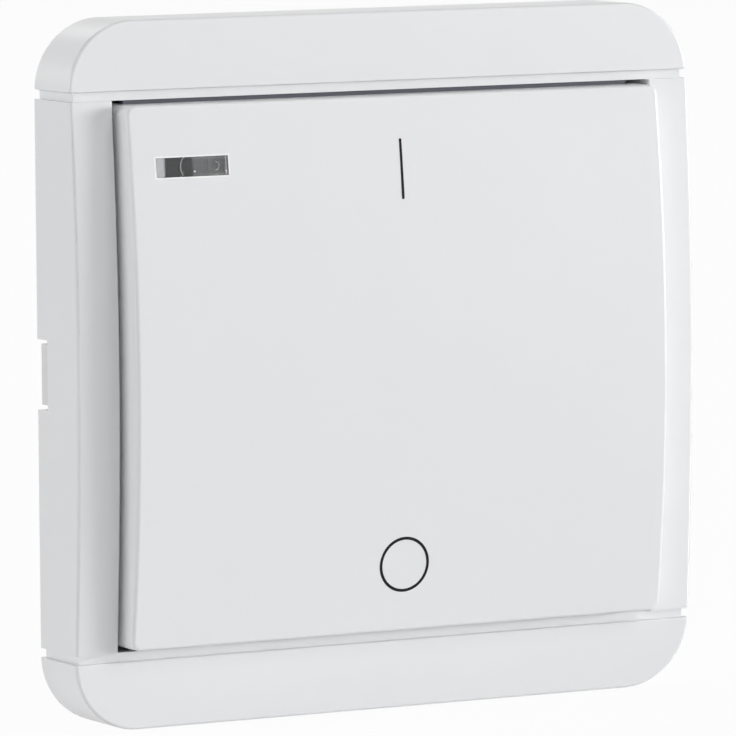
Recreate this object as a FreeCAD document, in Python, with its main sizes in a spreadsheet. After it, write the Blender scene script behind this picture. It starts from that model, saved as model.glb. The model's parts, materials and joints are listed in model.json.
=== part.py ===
import FreeCAD, Part
import math
import operator
import os
from types import SimpleNamespace

import Sketcher

# Wireless remote wall switch, 86 x 86 mm: a surround frame snapped over a mounting plate, and a
# closed radio module under one big arched rocker that tips on two side pivots.
#
# Frame of reference: +Z is up, the front faces -Y, +X is to the right as seen from the front.
# The origin is the middle of the mounting plate's rear face, on the wall. All places along Y are
# given as a depth, which is the distance forward from the wall (y = -depth).

# Sizes in millimetres, angles in degrees
SIZES = {
    # surround frame
    "plate_width": 86.0,
    "plate_height": 86.0,
    "corner_radius": 8.7,
    "rail_width": 5.7,
    "rail_arch": 425.0,
    "band_height": 9.6,
    "frame_wall": 1.8,
    "frame_edge_round": 0.4,
    "groove_width": 1.12,
    "groove_depth": 0.7,
    "groove_edge_round": 0.2,
    "opening_edge_round": 0.3,
    "notch_width": 8.6,
    "notch_depth": 2.7,
    "collar_wall": 1.2,
    "collar_gap": 1.0,
    "sill_reach": 1.8,
    "sill_wall": 1.0,
    "sill_sink": 1.7,
    "sill_end_gap": 0.3,
    "sill_clearance": 0.9,
    "band_rib_wall": 1.0,
    "band_rib_near": 10.0,
    "band_rib_far": 30.0,
    "catch_height": 0.7,
    "catch_width": 7.0,
    "catch_length": 1.0,
    "catch_slope": 0.5,
    # mounting plate
    "plate_gap": 0.3,
    "plate_thickness": 1.8,
    "tab_recess": 0.54,
    "tab_width": 7.4,
    "screw_spacing": 60.0,
    "screw_hole_radius": 2.1,
    "slot_length": 7.0,
    "rim_inset": 0.9,
    "rim_wall": 1.1,
    "rim_height": 1.4,
    "tongue_spacing": 40.0,
    "tongue_width": 6.0,
    "tongue_wall": 1.2,
    "tongue_gap": 0.2,
    "tongue_tip": 1.4,
    "tongue_end_gap": 0.475,
    "barb_height": 0.6,
    "barb_length": 0.7,
    "clip_spacing": 24.0,
    "clip_width": 5.0,
    "clip_wall": 0.9,
    "clip_gap": 0.2,
    "clip_lip": 1.0,
    # module base
    "tray_side_gap": 2.75,
    "tray_end_gap": 2.25,
    "tray_corner": 2.0,
    "tray_wall": 1.2,
    "tray_floor": 1.2,
    "flange_reach": 0.8,
    "flange_width": 7.0,
    "well_radius": 4.2,
    "well_depth": 2.8,
    "well_wall": 1.0,
    "ear_width": 7.0,
    "standoff_radius": 2.4,
    "standoff_height": 0.8,
    "board_screw_x": 11.0,
    "board_screw_inset": 4.3,
    "cover_screw_inset": 1.8,
    "cover_screw_z": 13.0,
    "boss_radius": 2.2,
    # module cover
    "cover_thickness": 1.0,
    "hatch_margin": 0.6,
    "hatch_gap": 0.1,
    "plunger_hole_radius": 2.1,
    # rocker
    "rocker_gap": 0.35,
    "rocker_end_gap": 0.5,
    "rocker_arch": 230.0,
    "rocker_corner": 1.2,
    "rocker_edge_round": 0.5,
    "rocker_wall": 1.6,
    "rocker_side_wall": 1.6,
    "rocker_back_gap": 0.8,
    "rocker_rib_wall": 1.0,
    "rocker_rib_gap": 1.4,
    "rocker_rib_height": 1.7,
    "rocker_rib_root": 0.1,
    "rocker_rib_near": 10.0,
    "rocker_rib_far": 20.0,
    "rocker_rib_end_gap": 1.0,
    "rocker_cross_rib": 10.0,
    "pad_radius": 2.5,
    "press_gap": 0.05,
    "pivot_drop": 2.0,
    "pivot_boss_length": 0.45,
    "pivot_radius": 1.2,
    "pivot_gap": 0.05,
    "pivot_length": 1.7,
    "pivot_end_gap": 0.2,
    "pivot_boss_radius": 2.0,
    "pivot_side_gap": 0.3,
    # indicator
    "window_side_margin": 3.5,
    "window_end_margin": 6.35,
    "window_width": 9.7,
    "window_height": 2.3,
    "window_gap": 0.04,
    "window_sink": 0.05,
    "window_flange": 0.9,
    "window_flange_thickness": 0.6,
    "led_inset": 3.7,
    "led_drop": 0.2,
    "led_radius": 1.95,
    "led_proud": 0.15,
    "led_edge": 0.3,
    "shroud_inset": 0.5,
    "shroud_width": 9.4,
    "shroud_height": 4.8,
    "shroud_wall": 0.7,
    "shroud_gap": 0.1,
    # circuit board
    "board_gap": 0.5,
    "board_thickness": 1.6,
    "board_relief": 0.4,
    # push switches under the rocker
    "switch_side": 6.0,
    "switch_gap": 0.3,
    "switch_floor": 0.6,
    "switch_bore_radius": 2.6,
    "switch_sheet": 0.3,
    "switch_ear": 1.6,
    "plunger_radius": 1.75,
    "plunger_flange_radius": 2.3,
    "plunger_flange": 0.7,
    "plunger_back_gap": 1.2,
    "plunger_stand": 1.2,
    "plunger_edge": 0.2,
    "dome_radius": 2.2,
    "dome_height": 0.6,
    "dome_sheet": 0.15,
    "terminal_width": 0.7,
    "terminal_sheet": 0.3,
    "terminal_reach": 1.4,
    "terminal_spacing": 4.5,
    # battery
    "battery_radius": 10.0,
    "battery_height": 3.2,
    "battery_can_edge": 0.5,
    "battery_lift": 0.3,
    "holder_gap": 0.15,
    "holder_wall": 1.4,
    "holder_height": 2.4,
    "contact_sheet": 0.2,
    "contact_width": 3.0,
    "contact_disc_radius": 2.5,
    "clip_strip_width": 5.0,
    "clip_leg_gap": 0.4,
    # radio parts on the board
    "chip_width": 3.9,
    "chip_height": 1.4,
    "chip_lift": 0.15,
    "chip_lead_spacing": 1.27,
    "chip_lead_width": 0.42,
    "chip_lead_sheet": 0.2,
    "chip_lead_reach": 1.05,
    "chip_end_margin": 0.55,
    "control_chip_x": -18.0,
    "control_chip_z": -7.0,
    "transmitter_chip_x": 18.5,
    "transmitter_chip_z": 9.0,
    "can_length": 5.0,
    "can_width": 3.5,
    "can_height": 1.6,
    "can_edge": 0.3,
    "can_flange": 0.35,
    "can_x": 18.5,
    "can_z": 15.6,
    "antenna_inset": 8.0,
    "antenna_end_margin": 7.0,
    "antenna_length": 12.0,
    "antenna_width": 2.0,
    "antenna_sheet": 0.3,
    "antenna_stand": 2.4,
    "chip_part_length": 2.0,
    "chip_part_width": 1.25,
    "chip_part_height": 0.8,
    "chip_part_step": 2.6,
    "capacitor_x": -19.4,
    "capacitor_z": 8.5,
    "resistor_x": -14.6,
    "resistor_z": 8.5,
    # screws of the module
    "board_screw_radius": 1.0,
    "board_screw_head_radius": 1.9,
    "board_screw_head": 1.0,
    "cover_screw_radius": 1.0,
    "cover_screw_head_radius": 1.8,
    "cover_screw_head": 0.8,
    "screw_hole_gap": 0.15,
    "screw_tip_gap": 0.6,
    "screw_head_edge": 0.3,
    "driver_radius": 0.7,
    "driver_depth": 0.5,
    # how far a cutting shape runs past what it cuts
    "overrun": 1.0,
}

OPERATIONS = {"+": operator.add, "-": operator.sub, "*": operator.mul, "/": operator.truediv}


class Dim:
    # A size that carries its number together with the expression on the sheet that gives it.
    def __init__(self, value, text):
        self.value = float(value)
        self.text = text

    def __add__(self, other):
        return combine(self, "+", other)

    def __radd__(self, other):
        return combine(other, "+", self)

    def __sub__(self, other):
        return combine(self, "-", other)

    def __rsub__(self, other):
        return combine(other, "-", self)

    def __mul__(self, other):
        return combine(self, "*", other)

    def __rmul__(self, other):
        return combine(other, "*", self)

    def __truediv__(self, other):
        return combine(self, "/", other)

    def __rtruediv__(self, other):
        return combine(other, "/", self)

    def __neg__(self):
        return combine(0, "-", self)


def as_dim(item):
    return item if isinstance(item, Dim) else Dim(item, f"{item}")


def combine(left, sign, right):
    left = as_dim(left)
    right = as_dim(right)
    return Dim(OPERATIONS[sign](left.value, right.value), f"({left.text} {sign} {right.text})")


def root(item):
    return Dim(math.sqrt(item.value), f"sqrt({item.text})")


def sag(radius, distance):
    # how far an arc of this radius falls away at this distance from its crown
    return radius - root(radius * radius - distance * distance)


doc = FreeCAD.newDocument("wall_switch")
sheet = doc.addObject("Spreadsheet::Sheet", "sizes")
for row, (alias, value) in enumerate(SIZES.items(), start=1):
    sheet.set(f"A{row}", alias)
    sheet.set(f"B{row}", str(value))
    sheet.setAlias(f"B{row}", alias)
doc.recompute()
size = SimpleNamespace(**{alias: Dim(value, f"sizes.{alias}") for alias, value in SIZES.items()})


def bind(item, prop, dim):
    item.setExpression(prop, as_dim(dim).text)


# Sketches. On the front plane a point is (x, z) and the offset is a depth; on the side plane a
# point is (-depth, z) and the offset is an x.
def new_sketch(body, role, offset=0):
    sketch = body.newObject("Sketcher::SketchObject", f"{body.Name}_sketch")
    plane = [feature for feature in body.Origin.OriginFeatures if feature.Role == role][0]
    sketch.AttachmentSupport = [(plane, "")]
    sketch.MapMode = "FlatFace"
    bind(sketch, "AttachmentOffset.Base.z", offset)
    return sketch


def front_sketch(body, depth=0):
    return new_sketch(body, "XZ_Plane", depth)


def side_sketch(body, across=0):
    return new_sketch(body, "YZ_Plane", across)


def fix_point(sketch, geometry, position, corner):
    for kind, dim in zip(("DistanceX", "DistanceY"), corner):
        place = as_dim(dim)
        index = sketch.addConstraint(
            Sketcher.Constraint(kind, -1, 1, geometry, position, place.value))
        sketch.setExpression(f"Constraints[{index}]", place.text)


def fix_radius(sketch, geometry, radius):
    index = sketch.addConstraint(Sketcher.Constraint("Radius", geometry, radius.value))
    sketch.setExpression(f"Constraints[{index}]", radius.text)


def arc_between(start, end, radius):
    # the shorter arc that turns counter-clockwise from start to end
    chord = end - start
    rise = math.sqrt(max(radius * radius - chord.Length * chord.Length / 4, 0))
    inward = FreeCAD.Vector(-chord.y, chord.x, 0).normalize()
    centre = (start + end) / 2 + inward * rise
    angles = [math.atan2(point.y - centre.y, point.x - centre.x) for point in (start, end)]
    if angles[1] < angles[0]:
        angles[1] += 2 * math.pi
    return Part.ArcOfCircle(Part.Circle(centre, FreeCAD.Vector(0, 0, 1), radius), *angles)


def loop(sketch, corners):
    # The corners of a closed outline. A corner with a radius starts an arc that turns
    # counter-clockwise to the next corner.
    points = [FreeCAD.Vector(as_dim(c[0]).value, as_dim(c[1]).value, 0) for c in corners]
    first = sketch.GeometryCount
    count = len(corners)
    for index, corner in enumerate(corners):
        ends = (points[index], points[(index + 1) % count])
        if len(corner) == 2:
            geometry = sketch.addGeometry(Part.LineSegment(*ends))
        else:
            geometry = sketch.addGeometry(arc_between(*ends, corner[2].value))
            fix_radius(sketch, geometry, corner[2])
        fix_point(sketch, geometry, 1, corner[:2])
    for index in range(count):
        following = first + (index + 1) % count
        sketch.addConstraint(Sketcher.Constraint("Coincident", first + index, 2, following, 1))


def circle(sketch, x, y, radius):
    centre = FreeCAD.Vector(as_dim(x).value, as_dim(y).value, 0)
    geometry = sketch.addGeometry(Part.Circle(centre, FreeCAD.Vector(0, 0, 1), radius.value))
    fix_point(sketch, geometry, 3, (x, y))
    fix_radius(sketch, geometry, radius)


def upright_slot(sketch, x, middle, straight, radius):
    # a slot with round ends, whose straight stretch runs this far up and down from its middle
    ends = (middle + straight, middle - straight)
    arcs = []
    for end, turned_by in zip(ends, (0, math.pi)):
        centre = FreeCAD.Vector(as_dim(x).value, end.value, 0)
        round_end = Part.Circle(centre, FreeCAD.Vector(0, 0, 1), radius.value)
        arc = sketch.addGeometry(Part.ArcOfCircle(round_end, turned_by, turned_by + math.pi))
        fix_point(sketch, arc, 3, (x, end))
        fix_radius(sketch, arc, radius)
        for position in (1, 2):
            index = sketch.addConstraint(
                Sketcher.Constraint("DistanceY", -1, 1, arc, position, end.value))
            sketch.setExpression(f"Constraints[{index}]", end.text)
        arcs.append(arc)
    for arc, other in ((arcs[0], arcs[1]), (arcs[1], arcs[0])):
        side = (sketch.Geometry[arc].EndPoint, sketch.Geometry[other].StartPoint)
        line = sketch.addGeometry(Part.LineSegment(*side))
        sketch.addConstraint(Sketcher.Constraint("Coincident", arc, 2, line, 1))
        sketch.addConstraint(Sketcher.Constraint("Coincident", line, 2, other, 1))


def rectangle(sketch, left, right, low, high):
    loop(sketch, [(left, low), (right, low), (right, high), (left, high)])


def centred_rectangle(sketch, half_x, half_y):
    rectangle(sketch, -half_x, half_x, -half_y, half_y)


def rounded_rectangle(sketch, left, right, low, high, radius):
    loop(sketch, [
        (left + radius, low), (right - radius, low, radius),
        (right, low + radius), (right, high - radius, radius),
        (right - radius, high), (left + radius, high, radius),
        (left, high - radius), (left, low + radius, radius)])


def centred_rounded(sketch, half_x, half_y, radius):
    rounded_rectangle(sketch, -half_x, half_x, -half_y, half_y, radius)


# Bodies and their features
def new_body(name):
    body = doc.addObject("PartDesign::Body", name)
    body.Label = name
    return body


def add_feature(body, kind, sketch, length, centred=False, flipped=False):
    feature = body.newObject(f"PartDesign::{kind}", f"{body.Name}_{kind.lower()}")
    feature.Profile = sketch
    bind(feature, "Length", length)
    feature.SideType = "Symmetric" if centred else "One side"
    feature.Reversed = flipped
    return feature


def pad(body, sketch, length, centred=False):
    return add_feature(body, "Pad", sketch, length, centred)


def pocket_forward(body, sketch, length):
    # cuts from the sketch away from the wall
    return add_feature(body, "Pocket", sketch, length, flipped=True)


def pocket_back(body, sketch, length):
    # cuts from the sketch towards the wall
    return add_feature(body, "Pocket", sketch, length)


def pocket_across(body, sketch, length):
    # cuts from a side sketch to both sides alike
    return add_feature(body, "Pocket", sketch, length, centred=True)


def turn(body, profile):
    # turns a profile of (depth, radius) corners about the line from the wall to the front
    sketch = side_sketch(body)
    loop(sketch, [(-corner[0], *corner[1:]) for corner in profile])
    feature = body.newObject("PartDesign::Revolution", f"{body.Name}_turn")
    feature.Profile = sketch
    feature.ReferenceAxis = (sketch, ["H_Axis"])
    feature.Angle = 360
    return feature


def move_to(item, x, z):
    bind(item, "Placement.Base.x", x)
    bind(item, "Placement.Base.z", z)


def turned(name, x, z, profile):
    body = new_body(name)
    turn(body, profile)
    move_to(body, x, z)
    return body


def dress_edges(body, kind, prop, dim, chosen):
    # dresses each edge whose sampled points all pass the test
    doc.recompute()
    base = body.Tip
    names = []
    for index, edge in enumerate(base.Shape.Edges, start=1):
        points = edge.discretize(5)
        if all(chosen(point.x, -point.y, point.z) for point in points):
            names.append(f"Edge{index}")
    feature = body.newObject(f"PartDesign::{kind}", f"{body.Name}_{kind.lower()}")
    feature.Base = (base, names)
    bind(feature, prop, dim)
    return feature


def round_edges(body, radius, chosen):
    return dress_edges(body, "Fillet", "Radius", radius, chosen)


def chamfer_edges(body, width, chosen):
    return dress_edges(body, "Chamfer", "Size", width, chosen)


def near(value, dim):
    return abs(value - as_dim(dim).value) < 0.01


# Plain solids, placed by their limits across (x), in depth and in height (z)
def block(name, x, depth, z):
    item = doc.addObject("Part::Box", name)
    item.Label = name
    for prop, span in zip(("Length", "Width", "Height"), (x, depth, z)):
        bind(item, prop, span[1] - span[0])
    bind(item, "Placement.Base.x", x[0])
    bind(item, "Placement.Base.y", -depth[1])
    bind(item, "Placement.Base.z", z[0])
    return item


def around(middle, width):
    return (middle - width / 2, middle + width / 2)


def disc(name, x, z, depth, radius):
    item = doc.addObject("Part::Cylinder", name)
    item.Label = name
    bind(item, "Radius", radius)
    bind(item, "Height", depth[1] - depth[0])
    item.Placement = FreeCAD.Placement(
        FreeCAD.Vector(), FreeCAD.Rotation(FreeCAD.Vector(1, 0, 0), 90))
    bind(item, "Placement.Base.x", x)
    bind(item, "Placement.Base.y", -depth[0])
    bind(item, "Placement.Base.z", z)
    return item


def fused(name, pieces):
    item = doc.addObject("Part::MultiFuse", name)
    item.Label = name
    item.Shapes = pieces
    return item


def cut(name, base, tool):
    item = doc.addObject("Part::Cut", name)
    item.Label = name
    item.Base = base
    item.Tool = tool
    return item


def grouped(name, pieces):
    item = doc.addObject("Part::Compound", name)
    item.Label = name
    item.Links = pieces
    return item


# Places across and upright that several pieces share, from the outside inwards
half_width = size.plate_width / 2
half_height = size.plate_height / 2
half_opening_x = half_width - size.rail_width
half_opening_z = half_height - size.band_height
groove_far = half_opening_z + size.groove_width
collar_x = half_opening_x + size.collar_wall
collar_z = half_opening_z + size.collar_wall
inner_x = half_width - size.frame_wall
inner_z = half_height - size.frame_wall
inner_corner = size.corner_radius - size.frame_wall
tongue_face = inner_z - size.catch_height - size.tongue_gap
tongue_x = size.tongue_spacing / 2
clip_x = size.clip_spacing / 2
screw_x = size.screw_spacing / 2

half_rocker_x = half_opening_x - size.rocker_gap
half_rocker_z = half_opening_z - size.rocker_end_gap
rocker_inner_x = half_rocker_x - size.rocker_side_wall
pivot_boss_face = rocker_inner_x - size.pivot_boss_length
ear_face = pivot_boss_face - size.pivot_side_gap
half_tray_x = rocker_inner_x - size.tray_side_gap
half_tray_z = half_rocker_z - size.rocker_wall - size.tray_end_gap
tray_inner_x = half_tray_x - size.tray_wall
tray_inner_z = half_tray_z - size.tray_wall
tray_inner_corner = size.tray_corner - size.tray_wall
half_board_x = tray_inner_x - size.board_gap
half_board_z = tray_inner_z - size.board_gap
cover_screw_x = tray_inner_x - size.cover_screw_inset
board_screw_z = tray_inner_z - size.board_screw_inset

# the two push switches stand midway between the battery holder and the tray's end walls
holder_radius = size.battery_radius + size.holder_gap + size.holder_wall
switch_z = (holder_radius + tray_inner_z) / 2
half_switch = size.switch_side / 2

window_x = size.window_side_margin + size.window_width / 2 - half_rocker_x
window_z = half_rocker_z - size.window_end_margin - size.window_height / 2
shroud_left = size.shroud_inset - tray_inner_x
led_x = shroud_left + size.led_inset
led_z = window_z - size.led_drop

# Depths that several pieces share, from the wall forwards
tray_floor_front = size.plate_thickness + size.tray_floor
rim_front = size.plate_thickness + size.rim_height
collar_back = rim_front + size.collar_gap
barb_back = collar_back + size.tongue_gap
tongue_front = barb_back + size.barb_length + size.tongue_tip
cavity_depth = tongue_front + size.tongue_end_gap
rail_depth = cavity_depth + size.frame_wall + sag(size.rail_arch, half_height)
lip_back = tray_floor_front + size.clip_gap
clip_front = lip_back + size.clip_lip
rocker_back = clip_front + size.rocker_back_gap
sill_front = rail_depth - sag(size.rail_arch, half_opening_z) - size.sill_sink
rocker_end_back = sill_front + size.sill_clearance
well_front = size.plate_thickness + size.well_depth

board_back = tray_floor_front + size.standoff_height
board_front = board_back + size.board_thickness
battery_back = board_front + size.battery_lift
battery_front = battery_back + size.battery_height
tray_front = battery_front + size.contact_sheet + size.hatch_gap
cover_front = tray_front + size.cover_thickness
pivot_depth = tray_front - size.pivot_drop
switch_front = tray_front - size.switch_gap - size.switch_sheet
plunger_back = board_front + size.switch_floor + size.plunger_back_gap
plunger_front = cover_front + size.plunger_stand
rib_back = cover_front + size.rocker_rib_gap
rocker_depth = rib_back + size.rocker_rib_height + size.rocker_wall
rocker_centre = rocker_depth - size.rocker_arch
board_screw_reach = size.standoff_height + size.tray_floor / 2
cover_screw_reach = 4 * size.cover_thickness
both_sides = (-1, 1)


def frame_front(z):
    # depth of the frame's arched front at this height
    return rail_depth - sag(size.rail_arch, z)


def rocker_front(z, inset=0):
    # depth of the rocker's arched face at this height, or of a surface this far inside it
    return rocker_depth - inset - sag(size.rocker_arch - inset, z)


def make_surround_frame():
    body = new_body("surround_frame")
    outline = front_sketch(body)
    centred_rounded(outline, half_width, half_height, size.corner_radius)
    pad(body, outline, rail_depth)

    # the front bows from top to bottom
    reach = half_height + size.overrun
    beyond = rail_depth + size.overrun
    arch = side_sketch(body)
    loop(arch, [
        (-frame_front(reach), reach, size.rail_arch), (-frame_front(reach), -reach),
        (-beyond, -reach), (-beyond, reach)])
    pocket_across(body, arch, size.plate_width + 2 * size.overrun)

    # cavity behind the front, round a core that becomes the collar of the opening
    cavity = front_sketch(body)
    centred_rounded(cavity, inner_x, inner_z, inner_corner)
    centred_rectangle(cavity, collar_x, collar_z)
    pocket_forward(body, cavity, cavity_depth)

    # the cavity follows the bow behind the two side rails
    low = cavity_depth - size.overrun
    end = half_opening_z
    vault = frame_front(end) - size.frame_wall
    for across in (inner_x, -collar_x):
        slice_outline = side_sketch(body, across)
        loop(slice_outline, [
            (-low, end), (-vault, end, size.rail_arch - size.frame_wall),
            (-vault, -end), (-low, -end)])
        pocket_back(body, slice_outline, inner_x - collar_x)

    opening = front_sketch(body)
    centred_rectangle(opening, half_opening_x, half_opening_z)
    pocket_forward(body, opening, beyond)
    collar_end = front_sketch(body)
    centred_rectangle(collar_end, collar_x, collar_z)
    pocket_forward(body, collar_end, collar_back)

    # ribs from the collar to the top and bottom walls
    ribs = front_sketch(body, collar_back)
    for x in (-size.band_rib_far, -size.band_rib_near, size.band_rib_near, size.band_rib_far):
        for low_z, high_z in ((collar_z, inner_z), (-inner_z, -collar_z)):
            rectangle(ribs, *around(x, size.band_rib_wall), low_z, high_z)
    pad(body, ribs, cavity_depth - collar_back)

    # sills that close the slot at the rocker's two ends
    sills = front_sketch(body, sill_front - size.sill_wall)
    sill_end = half_opening_x - size.rocker_gap - size.rocker_side_wall - size.sill_end_gap
    for low_z, high_z in ((half_opening_z - size.sill_reach, half_opening_z),
                          (-half_opening_z, size.sill_reach - half_opening_z)):
        rectangle(sills, -sill_end, sill_end, low_z, high_z)
    pad(body, sills, size.sill_wall)

    # ledges that the plate's snap tongues catch
    ledge_back = collar_back - size.catch_length
    ledge_face = inner_z - size.catch_height
    for x in (-tongue_x, tongue_x):
        ledges = side_sketch(body, x - size.catch_width / 2)
        for side in both_sides:
            loop(ledges, [
                (-(ledge_back - size.catch_slope), side * inner_z),
                (-ledge_back, side * ledge_face),
                (-collar_back, side * ledge_face),
                (-collar_back, side * inner_z)])
        pad(body, ledges, size.catch_width)

    # pry notches in the back edge of both side walls
    notches = front_sketch(body)
    for left, right in ((inner_x, half_width), (-half_width, -inner_x)):
        rectangle(notches, left, right, -size.notch_width / 2, size.notch_width / 2)
    pocket_forward(body, notches, size.notch_depth)

    round_edges(body, size.frame_edge_round, on_frame_rim)

    # grooves across the front, at the ends of the opening, that run on down the side walls
    grooves = side_sketch(body)
    for side in both_sides:
        loop(grooves, [
            (-beyond, side * half_opening_z),
            (-(frame_front(half_opening_z) - size.groove_depth), side * half_opening_z),
            (-(frame_front(groove_far) - size.groove_depth), side * groove_far),
            (-beyond, side * groove_far)])
    pocket_across(body, grooves, size.plate_width + 2 * size.overrun)
    wall_grooves = front_sketch(body)
    deep = half_width - size.groove_depth
    clear = half_width + size.overrun
    for left, right in ((deep, clear), (-clear, -deep)):
        for low_z, high_z in ((half_opening_z, groove_far), (-groove_far, -half_opening_z)):
            rectangle(wall_grooves, left, right, low_z, high_z)
    pocket_forward(body, wall_grooves, beyond)
    round_edges(body, size.opening_edge_round, on_rail_edge)
    round_edges(body, size.groove_edge_round, on_groove_edge)
    return body


def on_groove_edge(x, depth, z):
    # the band's edge along each groove, across the front
    far = groove_far
    return near(abs(z), far) and near(depth, frame_front(far))


def on_rail_edge(x, depth, z):
    # the front edge of each rail along the opening
    front = near(depth, frame_front(as_dim(abs(z))))
    return front and near(abs(x), half_opening_x)


def on_frame_rim(x, depth, z):
    # the closed edge round the arched front
    front = near(depth, frame_front(as_dim(abs(z))))
    inside_x = abs(x) < half_opening_x.value + 0.01
    inside_z = abs(z) < half_opening_z.value + 0.01
    return front and not (inside_x and inside_z)


def make_mounting_plate():
    body = new_body("mounting_plate")
    half_x = inner_x - size.plate_gap
    half_z = inner_z - size.plate_gap
    corner = inner_corner - size.plate_gap
    outline = front_sketch(body)
    centred_rounded(outline, half_x, half_z, corner)
    pad(body, outline, size.plate_thickness)

    # tabs that show in the frame's notches
    tabs = front_sketch(body)
    tab_face = half_width - size.tab_recess
    for left, right in ((half_x - size.overrun, tab_face), (-tab_face, -half_x + size.overrun)):
        rectangle(tabs, left, right, -size.tab_width / 2, size.tab_width / 2)
    pad(body, tabs, size.plate_thickness)

    # stiffening rim
    rim_x = half_x - size.rim_inset
    rim_z = half_z - size.rim_inset
    rim_corner = corner - size.rim_inset
    rim = front_sketch(body, size.plate_thickness)
    centred_rounded(rim, rim_x, rim_z, rim_corner)
    centred_rounded(rim, rim_x - size.rim_wall, rim_z - size.rim_wall, rim_corner - size.rim_wall)
    pad(body, rim, size.rim_height)

    # snap tongues with a barb that hooks in front of the frame's ledges
    root_face = tongue_face - size.tongue_wall
    barb_face = tongue_face + size.barb_height
    for x in (-tongue_x, tongue_x):
        tongues = side_sketch(body, x - size.tongue_width / 2)
        for side in both_sides:
            loop(tongues, [
                (-size.plate_thickness, side * root_face),
                (-tongue_front, side * root_face),
                (-tongue_front, side * (tongue_face - size.tongue_wall / 2)),
                (-(barb_back + size.barb_length), side * barb_face),
                (-barb_back, side * barb_face),
                (-barb_back, side * tongue_face),
                (-size.plate_thickness, side * tongue_face)])
        pad(body, tongues, size.tongue_width)

    # hooks that hold the module base by its two flanges, top and bottom
    flange_face = half_tray_z + size.flange_reach
    post_face = flange_face + size.clip_gap
    for x in (-clip_x, clip_x):
        hooks = side_sketch(body, x - size.clip_width / 2)
        for side in both_sides:
            loop(hooks, [
                (-size.plate_thickness, side * post_face),
                (-lip_back, side * post_face),
                (-lip_back, side * (half_tray_z + size.clip_gap)),
                (-clip_front, side * post_face),
                (-clip_front, side * (post_face + size.clip_wall)),
                (-size.plate_thickness, side * (post_face + size.clip_wall))])
        pad(body, hooks, size.clip_width)

    # two round holes on the standard spacing and a pair of upright slots
    fixings = front_sketch(body)
    straight = size.slot_length / 2 - size.screw_hole_radius
    for side in both_sides:
        circle(fixings, side * screw_x, 0, size.screw_hole_radius)
        upright_slot(fixings, 0, side * screw_x, straight, size.screw_hole_radius)
    pocket_forward(body, fixings, size.plate_thickness)
    return body


def make_module_base():
    body = new_body("module_base")
    outline = front_sketch(body, size.plate_thickness)
    centred_rounded(outline, half_tray_x, half_tray_z, size.tray_corner)
    pad(body, outline, tray_front - size.plate_thickness)
    inside = front_sketch(body, tray_front)
    centred_rounded(inside, tray_inner_x, tray_inner_z, tray_inner_corner)
    pocket_back(body, inside, tray_front - tray_floor_front)

    # housings over the heads of the two wall screws, trimmed flush with the side walls
    housings = front_sketch(body, tray_floor_front)
    for side in both_sides:
        circle(housings, side * screw_x, 0, size.well_radius + size.well_wall)
    pad(body, housings, well_front + size.well_wall - tray_floor_front)
    trims = front_sketch(body)
    far = half_tray_x + 2 * (size.well_radius + size.well_wall)
    for left, right in ((half_tray_x, far), (-far, -half_tray_x)):
        rectangle(trims, left, right, -half_tray_z / 2, half_tray_z / 2)
    pocket_forward(body, trims, tray_front)

    # ears that carry the rocker's pivots
    ears = front_sketch(body, size.plate_thickness)
    for left, right in ((tray_inner_x, ear_face), (-ear_face, -tray_inner_x)):
        rectangle(ears, left, right, -size.ear_width / 2, size.ear_width / 2)
    pad(body, ears, tray_front - size.plate_thickness)
    wells = front_sketch(body, size.plate_thickness)
    for side in both_sides:
        circle(wells, side * screw_x, 0, size.well_radius)
    pocket_forward(body, wells, size.well_depth)
    bore_depth = size.pivot_length - size.pivot_side_gap + size.pivot_end_gap
    for face in (ear_face, -ear_face + bore_depth):
        bore = side_sketch(body, face)
        circle(bore, -pivot_depth, 0, size.pivot_radius + size.pivot_gap)
        pocket_back(body, bore, bore_depth)

    # flanges for the plate's hooks
    flanges = front_sketch(body, size.plate_thickness)
    for x in (-clip_x, clip_x):
        for low_z, high_z in ((tray_inner_z, half_tray_z + size.flange_reach),
                              (-half_tray_z - size.flange_reach, -tray_inner_z)):
            rectangle(flanges, *around(x, size.flange_width), low_z, high_z)
    pad(body, flanges, size.tray_floor)

    # standoffs under the board and screw bosses up to the cover
    standoffs = front_sketch(body, tray_floor_front)
    bosses = front_sketch(body, tray_floor_front)
    for x_side in both_sides:
        for z_side in both_sides:
            circle(standoffs, x_side * size.board_screw_x, z_side * board_screw_z,
                   size.standoff_radius)
            circle(bosses, x_side * cover_screw_x, z_side * size.cover_screw_z,
                   size.boss_radius)
    pad(body, standoffs, size.standoff_height)
    pad(body, bosses, tray_front - tray_floor_front)
    pilots = front_sketch(body, tray_front)
    for x_side in both_sides:
        for z_side in both_sides:
            circle(pilots, x_side * cover_screw_x, z_side * size.cover_screw_z,
                   size.cover_screw_radius)
    pocket_back(body, pilots, cover_screw_reach + size.screw_tip_gap)
    board_pilots = front_sketch(body, board_back)
    for x_side in both_sides:
        for z_side in both_sides:
            circle(board_pilots, x_side * size.board_screw_x, z_side * board_screw_z,
                   size.board_screw_radius)
    pocket_back(body, board_pilots, board_screw_reach)
    return body


def make_module_cover():
    body = new_body("module_cover")
    outline = front_sketch(body, tray_front)
    centred_rounded(outline, half_tray_x, half_tray_z, size.tray_corner)
    circle(outline, 0, 0, size.battery_radius + size.hatch_margin)
    for side in both_sides:
        circle(outline, 0, side * switch_z, size.plunger_hole_radius)
        for x_side in both_sides:
            circle(outline, x_side * cover_screw_x, side * size.cover_screw_z,
                   size.cover_screw_radius + size.screw_hole_gap)
    left = shroud_left - size.shroud_gap
    right = shroud_left + size.shroud_width + size.shroud_gap
    rectangle(outline, left, right,
              *around(led_z, size.shroud_height + 2 * size.shroud_gap))
    pad(body, outline, size.cover_thickness)
    return body


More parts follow.
